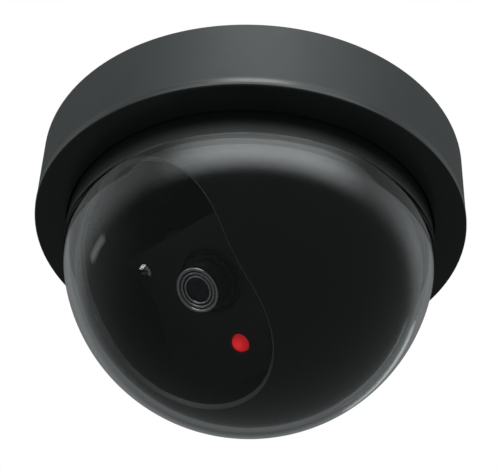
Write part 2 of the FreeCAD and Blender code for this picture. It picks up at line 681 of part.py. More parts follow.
def lens_element(radius, rear, edge, bulge):
    """Round glass with one domed face: rear plane, edge thickness and height of the dome."""
    ball = (radius ** 2 + bulge ** 2) / (2 * bulge)
    rim = along_lens(radius, 0, 0, rear, rear + edge + bulge)
    cap = Part.makeSphere(ball, in_module(0, 0, rear + edge + bulge - ball))
    return rim.common(cap)


def lens_front_element():
    return lens_element(4.6, LENS_REACH - 3.2, 0.9, 1.0).common(
        along_lens(4.6, 0, 0, LENS_REACH - 3.2, LENS_REACH - 1.2))


def lens_rear_element():
    return lens_element(4.4, BOARD_FRONT + 3.8, 0.8, 0.8)


PIECES = {
    "mounting_plate": mounting_plate,
    "grip_pads": grip_pads,
    "cable_grommet": cable_grommet,
    "gimbal_seat": gimbal_seat,
    "seat_screws": seat_screws,
    "board_standoffs": board_standoffs,
    "power_board": power_board,
    "power_board_screws": power_board_screws,
    "power_terminal": power_terminal,
    "video_connector": video_connector,
    "filter_capacitors": filter_capacitors,
    "power_inductor": power_inductor,
    "housing_cover": housing_cover,
    "dome_bezel": dome_bezel,
    "dome_gasket": dome_gasket,
    "dome": dome,
    "clamp_ring": clamp_ring,
    "clamp_ring_screws": clamp_ring_screws,
    "pan_ring": pan_ring,
    "pan_retainer": pan_retainer,
    "retainer_screws": retainer_screws,
    "liner": liner,
    "liner_screws": liner_screws,
    "yoke_left": lambda: yoke(-1),
    "yoke_right": lambda: yoke(1),
    "yoke_screws": yoke_screws,
}

MODULE_PIECES = {
    "tilt_cradle": tilt_cradle,
    "faceplate": faceplate,
    "faceplate_screws": faceplate_screws,
    "camera_board": camera_board,
    "camera_board_screws": camera_board_screws,
    "camera_connector": camera_connector,
    "signal_processor": signal_processor,
    "image_sensor": image_sensor,
    "ir_filter": ir_filter,
    "lens_holder": lens_holder,
    "lens_lock_ring": lens_lock_ring,
    "status_led": status_led,
    "led_holder": led_holder,
    "pivot_washers": pivot_washers,
    "pivot_screw": pivot_screw,
    "tilt_lock_screw": tilt_lock_screw,
    "lens_barrel": lens_barrel,
    "lens_front_ring": lens_front_ring,
    "lens_front_element": lens_front_element,
    "lens_rear_element": lens_rear_element,
}


def save(name, shape):
    if not shape.isValid() or not shape.Solids:
        raise ValueError(name + " is not a valid solid")
    shape.exportStep("parts/" + name + ".step")
    print(name, len(shape.Solids), round(shape.Volume, 1))


os.makedirs("parts", exist_ok=True)
for piece_name, make in PIECES.items():
    save(piece_name, make())
for piece_name, make in MODULE_PIECES.items():
    save(piece_name, tilted(make()))
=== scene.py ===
"""Looks of the dome camera: glass dome, glossy inner ball, moulded black plastic, lens and lamp.

Metres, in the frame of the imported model: the origin is on the ceiling, the dome hangs along -Z.
"""
import bpy
import bmesh
import json
import math
from mathutils import Matrix, Vector


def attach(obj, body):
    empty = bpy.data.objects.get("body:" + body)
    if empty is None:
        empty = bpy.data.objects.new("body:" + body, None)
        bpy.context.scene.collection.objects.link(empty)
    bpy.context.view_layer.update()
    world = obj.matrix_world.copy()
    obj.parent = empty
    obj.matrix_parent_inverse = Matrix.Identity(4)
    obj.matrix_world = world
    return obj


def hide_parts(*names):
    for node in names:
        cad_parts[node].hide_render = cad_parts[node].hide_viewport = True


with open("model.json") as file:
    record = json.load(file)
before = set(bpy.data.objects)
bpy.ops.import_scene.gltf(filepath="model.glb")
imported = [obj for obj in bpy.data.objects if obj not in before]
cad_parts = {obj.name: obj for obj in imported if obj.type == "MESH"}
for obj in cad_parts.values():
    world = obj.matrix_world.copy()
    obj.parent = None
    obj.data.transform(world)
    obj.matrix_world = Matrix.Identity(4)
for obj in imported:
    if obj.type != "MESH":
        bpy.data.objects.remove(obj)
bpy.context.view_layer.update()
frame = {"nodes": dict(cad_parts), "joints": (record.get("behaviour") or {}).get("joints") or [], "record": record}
nodes = frame["nodes"]

MM = 0.001

# ---- sizes in millimetres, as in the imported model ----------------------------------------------
CASE_R = 59.0
CASE_TOP_R = 59.3
CASE_WALL = 2.2
EDGE_SWELL = 0.09
CASE_TOP_Z = -0.3
CASE_BOTTOM_Z = -21.5
CASE_OPENING_R = 50.4
BEZEL_ROOT_R = 50.0
BEZEL_LIP_R = 50.3
BEZEL_BORE_R = 49.3
BEZEL_LIP_Z = -28.6
BEZEL_FLANGE_T = 1.4
COLLAR_R = 52.2
GASKET_T = 0.6
DOME_R = 50.4
DOME_WALL = 1.5
DOME_FLANGE_T = 1.2
SPIGOT_R = 49.2
SPIGOT_BORE_R = 48.4
CLAMP_PCD_R = 54.6
BOSS_R = 2.35
BOSS_BORE_R = 0.9
LINER_R = 47.5
LINER_BORE = 46.2
LINER_TOP_Z = -19.7
LINER_FLANGE_T = 1.5
LINER_FLANGE_BORE = 40.2
SLOT_HALF = 22.6
SLOT_END_Y = -23.5
SLOT_ARCH_Z = -50.0
SLOT_MIDDLE_Y = -36.0        # on the unrolled ball
SLOT_EDGE_ROUND = 0.45
PLATE_REACH = 22.6
FACE_T = 1.5
LED_DROP = 18.0
LED_X = -2.2
LED_R = 2.5
LED_TIP = 23.8
LED_LENGTH = 8.6
LED_FLANGE_R = 2.9
LED_FLANGE_T = 1.0
LED_LEAD_R = 0.25
LED_LEAD_X = 1.27
LED_LEAD_END = 9.0
LENS_REACH = 30.1
LENS_R = 6.0
LENS_HEAD_R = 6.2
LENS_BACK = 15.0
LENS_BORE_R = 3.4
LENS_SEAT_R = 5.3
LENS_SEAT_DEPTH = 1.2
LENS_GLASS_R = 4.6
LENS_GLASS_BACK = 3.2
LENS_CLEAR_R = 3.3
LENS_BULGE = 1.15
# half-round rings on the front of the lens: middle radius, depth of the centre, half width
TRIM_RINGS = ((5.6, 0.5, 0.5), (4.5, 0.62, 0.32), (3.55, 0.72, 0.32))
TRIM_GROOVE_DEPTH = 0.95
HOLDER_R = 8.0
HOLDER_FRONT = 21.8
HOLDER_BORE_R = LENS_R + 0.05
HOLDER_WINDOW_R = 3.2
HOLDER_SEAT = 13.4            # inside the base, where the round part of the holder begins
HOLDER_BASE_HALF = 8.0
HOLDER_BASE_BACK = 11.6
HOLDER_BASE_FRONT = 14.0
LOCK_R = 7.6
LOCK_NOTCH_R = 7.1
FACE_SCREW_X = 16.2
FACE_SCREW_UP = 9.9
FACE_SCREW_HOLE_R = 1.1
FACE_SCREW_HEAD_R = 1.9
FACE_SCREW_HEAD_H = 1.3
FACE_SCREW_SHANK_R = 0.9
FACE_SCREW_LENGTH = 3.6
# shares of the screw head's height and radius
HEAD_RIM = 0.55
RECESS_HALF = 0.13
RECESS_REACH = 0.6
RECESS_DEPTH = 0.62
# right half of the faceplate from the bottom up: across, up, radius of the corner
FACE_RIGHT = [(10.0, -27.5, 2.0), (16.0, -26.0, 1.2), (24.5, -17.5, 1.2),
              (24.5, -14.0, 1.5), (19.5, 0.0, 3.0), (19.5, 15.0, 1.0)]
CASE_FLOOR_Z = CASE_BOTTOM_Z + CASE_WALL

tilt_joint = [joint for joint in frame["joints"] if joint["name"] == "tilt"][0]
focus_joint = [joint for joint in frame["joints"] if joint["name"] == "lens_focus"][0]
PIVOT = Vector(tilt_joint["pos_m"]) / MM
LENS_AXIS = Vector(focus_joint["axis"]).normalized()
ACROSS = Vector((1.0, 0.0, 0.0))
FACE_UP = LENS_AXIS.cross(ACROSS)

# ---- camera: where the picture is taken from ---------------------------------------------------
VIEW_AZIMUTH = 43.2
VIEW_PITCH = 38.71       # the camera looks this much above the horizon
VIEW_ROLL = 2.39
VIEW_OUT = 259.3         # horizontal distance from the pan axis
VIEW_DROP = 227.6        # below the ceiling
LENS_MM = 86.55
SENSOR_MM = 36.0

# ---- surfaces, in millimetres ------------------------------------------------------------------
GRAIN_DEPTH = 0.02
RIPPLE_DEPTH = 0.004
MACHINING_DEPTH = 0.006
LATHE_MARK_PITCH = 0.34
LATHE_MARK_DEPTH = 0.001
RUBBED_EDGE = (3.0, 2.0)      # above the cover's lower edge: where the rubbed band begins, is full
RUBBED_GLOSS = 0.30
RING_GROOVE = (0.70, 0.62)    # below the front of the lens: all black, all bright
CHIP_R = 0.8
CHIP_GLOW = 0.62
RIM_GLOW = 0.3


# ---- node helpers ------------------------------------------------------------------------------
class Material:
    """A Principled material and a few shorthands for the nodes round it."""

    def __init__(self, name):
        self.material = bpy.data.materials.new(name)
        self.material.use_nodes = True
        self.tree = self.material.node_tree
        self.tree.nodes.clear()
        self.shader = self.add("ShaderNodeBsdfPrincipled")
        output = self.add("ShaderNodeOutputMaterial")
        self.join(self.shader.outputs[0], output.inputs["Surface"])
        self.place = self.add("ShaderNodeTexCoord").outputs["Object"]

    def add(self, kind, **settings):
        node = self.tree.nodes.new(kind)
        for key, value in settings.items():
            setattr(node, key, value)
        return node

    def join(self, source, target):
        self.tree.links.new(source, target)

    def set(self, **values):
        for key, value in values.items():
            self.shader.inputs[key.replace("_", " ")].default_value = value
        return self

    def noise(self, scale, detail=3.0, roughness=0.55):
        texture = self.add("ShaderNodeTexNoise")
        texture.inputs["Scale"].default_value = scale
        texture.inputs["Detail"].default_value = detail
        texture.inputs["Roughness"].default_value = roughness
        self.join(self.place, texture.inputs["Vector"])
        return texture.outputs["Fac"]

    def remap(self, value, low, high, out_low, out_high):
        node = self.add("ShaderNodeMapRange")
        ends = {"From Min": low, "From Max": high, "To Min": out_low, "To Max": out_high}
        for name, number in ends.items():
            node.inputs[name].default_value = number
        self.join(value, node.inputs["Value"])
        return node.outputs["Result"]

    def mix(self, factor, first, second):
        node = self.add("ShaderNodeMix", data_type="RGBA")
        node.inputs["A"].default_value = (*first, 1.0)
        node.inputs["B"].default_value = (*second, 1.0)
        self.join(factor, node.inputs["Factor"])
        return node.outputs["Result"]

    def math(self, operation, first, second):
        node = self.add("ShaderNodeMath", operation=operation)
        for slot, value in enumerate((first, second)):
            if isinstance(value, (int, float)):
                node.inputs[slot].default_value = value
            else:
                self.join(value, node.inputs[slot])
        return node.outputs[0]

    def bump(self, height, distance, strength=1.0):
        node = self.add("ShaderNodeBump")
        node.inputs["Strength"].default_value = strength
        node.inputs["Distance"].default_value = distance
        self.join(height, node.inputs["Height"])
        self.join(node.outputs[0], self.shader.inputs["Normal"])


def moulded(name, dark, light, rough, rough_spread=0.08, grain_scale=5200.0):
    """Moulded plastic: fine grain, faint mottling and slight changes in gloss."""
    made = Material(name)
    mottle = made.noise(70.0, 4.0)
    paint = made.mix(made.remap(mottle, 0.3, 0.7, 0.0, 1.0), dark, light)
    made.join(paint, made.shader.inputs["Base Color"])
    wear = made.noise(240.0, 5.0, 0.65)
    made.join(made.remap(wear, 0.3, 0.7, rough - rough_spread, rough + rough_spread),
              made.shader.inputs["Roughness"])
    grain = made.noise(grain_scale, 2.0, 0.5)
    made.bump(grain, GRAIN_DEPTH * MM)
    return made


def turned_metal(name):
    """Polished lens rings with fine circular lathe marks; the grooves between them are black."""
    made = Material(name)
    made.set(Metallic=1.0)
    flat = made.add("ShaderNodeMapping")
    flat.inputs["Scale"].default_value = (1.0, 1.0, 0.0)
    made.join(made.place, flat.inputs["Vector"])
    radius = made.add("ShaderNodeVectorMath", operation="LENGTH")
    made.join(flat.outputs[0], radius.inputs[0])
    turns = 2 * math.pi / (LATHE_MARK_PITCH * MM)
    marks = made.math("SINE", made.math("MULTIPLY", radius.outputs["Value"], turns), 0.0)
    smudge = made.noise(260.0, 2.0)
    shade = made.math("ADD", made.math("MULTIPLY", marks, 0.12), smudge)
    bright = made.mix(made.remap(shade, 0.3, 0.8, 0.0, 1.0), (0.74, 0.74, 0.75), (0.9, 0.9, 0.91))
    axes = made.add("ShaderNodeSeparateXYZ")
    made.join(made.place, axes.inputs[0])
    raised = made.remap(axes.outputs["Z"], (LENS_REACH - RING_GROOVE[0]) * MM,
                        (LENS_REACH - RING_GROOVE[1]) * MM, 0.0, 1.0)
    paint = made.add("ShaderNodeMix", data_type="RGBA")
    paint.inputs["A"].default_value = (0.02, 0.02, 0.022, 1.0)
    made.join(bright, paint.inputs["B"])
    made.join(raised, paint.inputs["Factor"])
    made.join(paint.outputs["Result"], made.shader.inputs["Base Color"])
    made.join(made.remap(smudge, 0.3, 0.7, 0.12, 0.18), made.shader.inputs["Roughness"])
    made.bump(marks, LATHE_MARK_DEPTH * MM)
    return made


def case_plastic(name):
    """Satin black housing whose lower edge is rubbed a little smoother than its grained wall."""
    made = moulded(name, (0.054, 0.057, 0.057), (0.062, 0.065, 0.065), 0.52, 0.015)
    axes = made.add("ShaderNodeSeparateXYZ")
    made.join(made.place, axes.inputs[0])
    worn = made.remap(axes.outputs["Z"], (CASE_BOTTOM_Z + RUBBED_EDGE[0]) * MM,
                      (CASE_BOTTOM_Z + RUBBED_EDGE[1]) * MM, 0.0, RUBBED_GLOSS)
    grained = made.shader.inputs["Roughness"].links[0].from_socket
    made.join(made.math("SUBTRACT", grained, worn), made.shader.inputs["Roughness"])
    return made


def polished(name, colour, rough):
    """Polished plastic with a trace of moulding ripple and fine dust."""
    made = Material(name)
    dust = made.noise(900.0, 6.0, 0.7)
    lighter = tuple(min(1.0, channel * 1.5 + 0.004) for channel in colour)
    paint = made.mix(made.remap(dust, 0.55, 0.75, 0.0, 1.0), colour, lighter)
    made.join(paint, made.shader.inputs["Base Color"])
    made.join(made.remap(dust, 0.35, 0.75, rough, rough + 0.06), made.shader.inputs["Roughness"])
    made.bump(made.noise(45.0, 1.0), RIPPLE_DEPTH * MM)
    return made


def metal(name, colour, rough):
    """Plated or bare metal with fine machining marks."""
    made = Material(name)
    made.set(Metallic=1.0)
    marks = made.noise(2400.0, 3.0, 0.6)
    duller = tuple(channel * 0.78 for channel in colour)
    paint = made.mix(made.remap(marks, 0.3, 0.7, 0.0, 1.0), duller, colour)
    made.join(paint, made.shader.inputs["Base Color"])
    gloss = made.remap(marks, 0.3, 0.7, rough - 0.06, rough + 0.10)
    made.join(gloss, made.shader.inputs["Roughness"])
    made.bump(marks, MACHINING_DEPTH * MM)
    return made


def lit_lamp(name):
    """Clear red resin, lit from the chip inside it."""
    made = polished(name, (0.62, 0.012, 0.02), 0.1)
    made.set(Emission_Color=(1.0, 0.022, 0.03, 1.0))
    distance = made.add("ShaderNodeVectorMath", operation="LENGTH")
    across = made.add("ShaderNodeMapping")
    across.inputs["Scale"].default_value = (1.0, 1.0, 0.0)
    made.join(made.place, across.inputs["Vector"])
    made.join(across.outputs[0], distance.inputs[0])
    glow = made.remap(distance.outputs["Value"], CHIP_R * MM, LED_R * MM, CHIP_GLOW, RIM_GLOW)
    made.join(glow, made.shader.inputs["Emission Strength"])
    return made


def clear_plastic(name):
    """Clear polished plastic with faint smears."""
    made = Material(name)
    made.set(Base_Color=(0.93, 0.935, 0.94, 1.0), Transmission_Weight=1.0, IOR=1.49)
    smears = made.noise(28.0, 5.0, 0.6)
    made.join(made.remap(smears, 0.45, 0.8, 0.0, 0.03), made.shader.inputs["Roughness"])
    return made


# material slot: the function that makes it, and what goes to that function after the name
MAKE = {
    "case_plastic": (case_plastic,),
    "inner_plastic": (moulded, (0.018, 0.018, 0.019), (0.026, 0.026, 0.027), 0.5),
    "bezel_plastic": (moulded, (0.048, 0.049, 0.049), (0.058, 0.059, 0.059), 0.42, 0.03),
    "faceplate_plastic": (moulded, (0.032, 0.032, 0.033), (0.040, 0.040, 0.041), 0.5),
    "liner_plastic": (polished, (0.006, 0.006, 0.007), 0.10),
    "clear_dome": (clear_plastic,),
    "rubber": (moulded, (0.015, 0.015, 0.015), (0.022, 0.022, 0.022), 0.75),
    "zinc_steel": (metal, (0.62, 0.62, 0.60), 0.32),
    "nickel_screw": (metal, (0.82, 0.82, 0.83), 0.12),
    "black_steel": (moulded, (0.014, 0.014, 0.015), (0.02, 0.02, 0.021), 0.4),
    "brass": (metal, (0.78, 0.6, 0.3), 0.3),
    "circuit_board": (moulded, (0.006, 0.05, 0.022), (0.009, 0.075, 0.034), 0.35),
    "terminal_green": (moulded, (0.02, 0.2, 0.06), (0.03, 0.26, 0.08), 0.4),
    "connector_white": (moulded, (0.66, 0.64, 0.57), (0.74, 0.72, 0.65), 0.45),
    "capacitor_can": (metal, (0.6, 0.61, 0.63), 0.3),
    "ferrite": (moulded, (0.04, 0.04, 0.043), (0.06, 0.06, 0.064), 0.6),
    "chip_black": (moulded, (0.012, 0.012, 0.013), (0.018, 0.018, 0.019), 0.5),
    "sensor": (polished, (0.03, 0.035, 0.06), 0.08),
    "filter_glass": (polished, (0.3, 0.09, 0.12), 0.05),
    "lens_black": (moulded, (0.008, 0.008, 0.009), (0.012, 0.012, 0.013), 0.45),
    "lens_metal": (turned_metal,),
    "lens_glass": (polished, (0.01, 0.012, 0.02), 0.03),
    "led_red": (lit_lamp,),
    "nylon": (moulded, (0.62, 0.61, 0.58), (0.7, 0.69, 0.66), 0.45),
}
materials = {}
for slot_name, (make, *values) in MAKE.items():
    materials[slot_name] = make(slot_name, *values).material

slot_of = {part["node"]: part["material_slot"] for part in frame["record"]["subparts"]}
for node_name, node in nodes.items():
    node.data.materials.clear()
    node.data.materials.append(materials[slot_of[node_name]])


# ---- shapes ------------------------------------------------------------------------------------
def between(start, corner, end, part):
    """Point on the curve from start to end that is drawn towards the corner."""
    return start * (1 - part) ** 2 + corner * 2 * part * (1 - part) + end * part ** 2


def rounded(corners, steps=4):
    """Closed outline through (x, y, radius) corners, each rounded by its radius."""
    points = []
    for index, (x, y, radius) in enumerate(corners):
        corner = Vector((x, y))
        before = Vector(corners[index - 1][:2]) - corner
        after = Vector(corners[(index + 1) % len(corners)][:2]) - corner
        if radius == 0.0:
            points.append(corner)
            continue
        setback = radius / math.tan(before.angle(after) / 2)
        setback = min(setback, before.length * 0.48, after.length * 0.48)
        start = corner + before.normalized() * setback
        end = corner + after.normalized() * setback
        for step in range(steps + 1):
            points.append(between(start, corner, end, step / steps))
    return points


def arc_points(centre, radius, start, end, count):
    """Points on a circle in the plane of an outline, angles in degrees."""
    points = []
    for step in range(count + 1):
        turn = math.radians(start + (end - start) * step / count)
        points.append(Vector((centre[0] + radius * math.cos(turn),
                              centre[1] + radius * math.sin(turn))))
    return points


def join_rows(mesh, rows, closed_across=True):
    """Skin over rows of vertices; a row of one vertex is a pole."""
    following = rows[1:] + rows[:1] if closed_across else rows[1:]
    for first, second in zip(rows, following):
        longest = max(len(first), len(second))
        for k in range(longest):
            after = (k + 1) % longest
            corners = [first[k % len(first)], first[after % len(first)],
                       second[after % len(second)], second[k % len(second)]]
            corners = list(dict.fromkeys(corners))
            if len(corners) > 2:
                mesh.faces.new(corners)


def lathe(mesh, outline, segments=192, at=(0.0, 0.0)):
    """Adds a solid turned round a line parallel to Z; its outline is of (radius, height) points."""
    rows = []
    for radius, height in outline:
        if radius < 0.001:
            rows.append([mesh.verts.new((at[0] * MM, at[1] * MM, height * MM))])
            continue
        row = []
        for k in range(segments):
            turn = 2 * math.pi * k / segments
            x = at[0] + radius * math.cos(turn)
            y = at[1] + radius * math.sin(turn)
            row.append(mesh.verts.new((x * MM, y * MM, height * MM)))
        rows.append(row)
    join_rows(mesh, rows)


def finished(name, mesh, body, replaced, slot_name, place=None, sharp=38.0, trim=None):
    """Turns the built mesh into a named piece that stands for CAD nodes and rides on their body.

    Faces with material index 1 take the trim material.
    """
    bmesh.ops.recalc_face_normals(mesh, faces=mesh.faces)
    for face in mesh.faces:
        face.smooth = True
    for edge in mesh.edges:
        edge.smooth = edge.calc_face_angle(0.0) < math.radians(sharp)
    data = bpy.data.meshes.new(name)
    mesh.to_mesh(data)
    mesh.free()
    data.materials.append(materials[slot_name])
    if trim:
        data.materials.append(trim)
    piece = bpy.data.objects.new(name, data)
    bpy.context.scene.collection.objects.link(piece)
    if place:
        piece.matrix_world = place
    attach(piece, body)
    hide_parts(*replaced)


def module_place(x=0.0, up=0.0):
    """Matrix of the camera module: local X across, Y up the faceplate, Z out along the lens."""
    turn = Matrix((ACROSS, FACE_UP, LENS_AXIS)).transposed()
    return Matrix.Translation((PIVOT + ACROSS * x + FACE_UP * up) * MM) @ turn.to_4x4()


# ---- cover, bezel and dome ---------------------------------------------------------------------
def cover_piece():
    """Drum with its lower edge rounded and swollen by a hair, and bosses for the clamp screws."""
    mesh = bmesh.new()
    lathe(mesh, rounded([
        (CASE_R, CASE_BOTTOM_Z, 1.0), (CASE_R + EDGE_SWELL, CASE_BOTTOM_Z + 1.1, 0.5),
        (CASE_R + 0.02, CASE_BOTTOM_Z + 2.3, 0.8), (CASE_TOP_R, CASE_TOP_Z, 0.3),
        (CASE_TOP_R - CASE_WALL, CASE_TOP_Z, 0.3),
        (CASE_R - CASE_WALL, CASE_FLOOR_Z, 0.6), (CASE_OPENING_R, CASE_FLOOR_Z, 0.15),
        (CASE_OPENING_R, CASE_BOTTOM_Z, 0.25)], 7), 320)
    boss_top = CASE_FLOOR_Z + BEZEL_FLANGE_T + GASKET_T + DOME_FLANGE_T
    for step in range(6):
        turn = math.radians(60 * step)
        at = (CLAMP_PCD_R * math.cos(turn), CLAMP_PCD_R * math.sin(turn))
        lathe(mesh, rounded([
            (BOSS_R, CASE_FLOOR_Z - 0.5, 0.0), (BOSS_R, boss_top, 0.15),
            (BOSS_BORE_R, boss_top, 0.15), (BOSS_BORE_R, CASE_FLOOR_Z - 0.5, 0.0)]), 32, at)
    finished("cover_shell", mesh, "cover", ["housing_cover"], "case_plastic")


def bezel_piece():
    """Collar round the dome below the cover, with the flange that the cover holds."""
    mesh = bmesh.new()
    flange_top = CASE_FLOOR_Z + BEZEL_FLANGE_T
    lathe(mesh, rounded([
        (BEZEL_BORE_R, BEZEL_LIP_Z, 0.15), (BEZEL_LIP_R, BEZEL_LIP_Z, 0.3),
        (BEZEL_ROOT_R, CASE_BOTTOM_Z, 0.0), (BEZEL_ROOT_R, CASE_FLOOR_Z, 0.1),
        (COLLAR_R, CASE_FLOOR_Z, 0.15), (COLLAR_R, flange_top, 0.15),
        (BEZEL_BORE_R, flange_top, 0.15)], 5), 320)
    finished("bezel_collar", mesh, "cover", ["dome_bezel"], "bezel_plastic")


def dome_piece():
    """Clear dome with the spigot and flange above it, as one closed wall."""
    mesh = bmesh.new()
    flange_low = CASE_FLOOR_Z + BEZEL_FLANGE_T + GASKET_T
    flange_high = flange_low + DOME_FLANGE_T
    centre = (0.0, PIVOT.z)
    bore = DOME_R - DOME_WALL
    lip = -math.degrees(math.asin((PIVOT.z - BEZEL_LIP_Z) / DOME_R))
    spigot = -math.degrees(math.acos(SPIGOT_BORE_R / bore))
    outline = arc_points(centre, DOME_R, -90, lip, 90) + [
        Vector((SPIGOT_R, BEZEL_LIP_Z)), Vector((SPIGOT_R, flange_low)),
        Vector((COLLAR_R, flange_low)), Vector((COLLAR_R, flange_high)),
        Vector((SPIGOT_BORE_R, flange_high))]
    outline += arc_points(centre, bore, spigot, -90, 90)
    outline[0].x = outline[-1].x = 0.0
    lathe(mesh, outline, 320)
    finished("dome_glass", mesh, "cover", ["dome"], "clear_dome")


# ---- inner ball --------------------------------------------------------------------------------
def on_chart(x, y, z, radius):
    """Unrolls a point of the ball round its lowest point; above the equator it is a cylinder."""
    flat = math.hypot(x, y)
    if z > PIVOT.z:
        along = radius * math.pi / 2 + z - PIVOT.z
    else:
        along = radius * math.asin(min(1.0, flat / radius))
    return Vector((x, y)) * (along / max(flat, 0.001))


def off_chart(point, radius):
    """Puts an unrolled point back on the ball."""
    along = point.length
    equator = radius * math.pi / 2
    aside = point.normalized()
    if along > equator:
        return Vector((aside.x * radius, aside.y * radius, PIVOT.z + along - equator))
    turn = along / radius
    flat = radius * math.sin(turn)
    return Vector((aside.x * flat, aside.y * flat, PIVOT.z - radius * math.cos(turn)))


def slot_edge():
    """Pairs of points round the slot: on the outer face of the ball and on the inner one."""
    radii = (LINER_R, LINER_BORE)

    def on_front(x, z):
        depths = [math.sqrt(radius ** 2 - x ** 2 - (z - PIVOT.z) ** 2) for radius in radii]
        return [Vector((x, -depth, z)) for depth in depths]

    def on_underside(x, y):
        depths = [math.sqrt(radius ** 2 - x ** 2 - y ** 2) for radius in radii]
        return [Vector((x, y, PIVOT.z - depth)) for depth in depths]

    arch_outline = arc_points((0.0, SLOT_ARCH_Z), SLOT_HALF, 180, 0, 90)
    end_outline = arc_points((0.0, SLOT_END_Y), SLOT_HALF, 0, 180, 90)
    arch = [on_front(*point) for point in arch_outline]
    end = [on_underside(*point) for point in end_outline]
    side = []
    for step in range(1, 20):
        pair = []
        for start, stop, radius in zip(arch[-1], end[0], radii):
            y = start.y + (stop.y - start.y) * step / 20
            depth = math.sqrt(radius ** 2 - SLOT_HALF ** 2 - y ** 2)
            pair.append(Vector((SLOT_HALF, y, PIVOT.z - depth)))
        side.append(pair)
    far_side = [[Vector((-point.x, point.y, point.z)) for point in pair] for pair in reversed(side)]
    return arch + side + end + far_side


def to_rim(start, centre, rim):
    """Where the ray from the centre of the slot through a chart point meets the rim circle."""
    aim = (start - centre).normalized()
    reach = centre.dot(aim)
    return centre + aim * (-reach + math.sqrt(reach ** 2 - centre.length_squared + rim ** 2))


def liner_piece():
    """The ball as a skin along rays out of the slot, with a small round on the edge of the slot."""
    mesh = bmesh.new()
    centre = Vector((0.0, SLOT_MIDDLE_Y))
    flange_low = LINER_TOP_Z - LINER_FLANGE_T
    outer_rim = LINER_R * math.pi / 2 + LINER_TOP_Z - PIVOT.z
    inner_rim = LINER_BORE * math.pi / 2 + flange_low - PIVOT.z
    rows = []
    for outer, inner in slot_edge():
        start = on_chart(*outer, LINER_R)
        end = to_rim(start, centre, outer_rim)
        inner_start = on_chart(*inner, LINER_BORE)
        inner_end = end.normalized() * inner_rim
        first = SLOT_EDGE_ROUND / (end - start).length
        parts = [first + (1 - first) * (step / 36) ** 1.5 for step in range(37)]
        skin = [off_chart(start.lerp(end, part), LINER_R) for part in parts]
        wall = outer + (inner - outer).normalized() * SLOT_EDGE_ROUND
        corner = [between(skin[0], outer, wall, part) for part in (0.8, 0.6, 0.4, 0.2)]
        aside = Vector((*end.normalized(), 0.0)) * LINER_FLANGE_BORE
        rim = [aside + Vector((0, 0, LINER_TOP_Z)), aside + Vector((0, 0, flange_low))]
        inside = [off_chart(inner_end.lerp(inner_start, step / 24), LINER_BORE)
                  for step in range(25)]
        loop = [wall] + corner + skin + rim + inside
        rows.append([mesh.verts.new(point * MM) for point in loop])
    join_rows(mesh, rows)
    # the cut wall of the slot and the round on its edge are painted light grey: a painted highlight that draws the
    # slot's edge as a bright line
    lip = {vertex for row in rows for vertex in (row[-1], *row[:5])}
    for face in mesh.faces:
        face.material_index = int(all(vertex in lip for vertex in face.verts))
    # painted highlight: light grey paint on the slot's edge stands in for light catching it
    painted_edge_highlight = moulded("slot_lip_painted_highlight", (0.34, 0.35, 0.35), (0.42, 0.43, 0.43), 0.35).material
    finished("inner_ball", mesh, "pan_stage", ["liner"], "liner_plastic", trim=painted_edge_highlight)


# ---- camera module -----------------------------------------------------------------------------
def inset_loop(loop, inset):
    """The loop moved sideways to its left by a distance."""
    moved = []
    for index, point in enumerate(loop):
        before = (point - loop[index - 1]).normalized()
        after = (loop[(index + 1) % len(loop)] - point).normalized()
        first = Vector((-before.y, before.x))
        second = Vector((-after.y, after.x))
        moved.append(point + (first + second) * (inset / (1 + first.dot(second))))
    return moved


def plate_with_holes(mesh, outline, holes, back, front, edge):
    """Flat plate between two heights, with rounded front edges on its outline and its holes."""
    loops = [outline] + [hole[::-1] for hole in holes]
    front_edges = []
    back_edges = []
    for loop in loops:
        levels = [(back, loop)]
        for step in range(5):
            turn = math.radians(90 * step / 4)
            moved = inset_loop(loop, edge * (1 - math.cos(turn)))
            levels.append((front - edge + edge * math.sin(turn), moved))
        rows = []
        for height, level in levels:
            rows.append([mesh.verts.new((point.x * MM, point.y * MM, height * MM))
                         for point in level])
        join_rows(mesh, rows, closed_across=False)
        for row, edges in ((rows[0], back_edges), (rows[-1], front_edges)):
            for k, vertex in enumerate(row):
                edges.append(mesh.edges.get((vertex, row[(k + 1) % len(row)])))
    bmesh.ops.triangle_fill(mesh, use_beauty=True, use_dissolve=False, edges=front_edges)
    bmesh.ops.triangle_fill(mesh, use_beauty=True, use_dissolve=False, edges=back_edges)


def circle(x, y, radius, count=64):
    """Round outline without its last point, which would repeat the first."""
    return arc_points((x, y), radius, 0, 360, count)[:-1]


def faceplate_piece():
    """Flat face of the camera module with holes for the lens, the lamp and two screws."""
    mesh = bmesh.new()
    left = [(-x, up, radius) for x, up, radius in reversed(FACE_RIGHT)]
    outline = rounded(FACE_RIGHT + left, 5)
    holes = [circle(0.0, 0.0, HOLDER_R + 0.5), circle(LED_X, -LED_DROP, LED_R + 0.1, 48)]
    for side in (-1, 1):
        holes.append(circle(side * FACE_SCREW_X, FACE_SCREW_UP, FACE_SCREW_HOLE_R, 24))
    plate_with_holes(mesh, outline, holes, PLATE_REACH - FACE_T, PLATE_REACH, 0.45)
    finished("camera_faceplate", mesh, "camera_module", ["faceplate"], "faceplate_plastic",
             module_place())


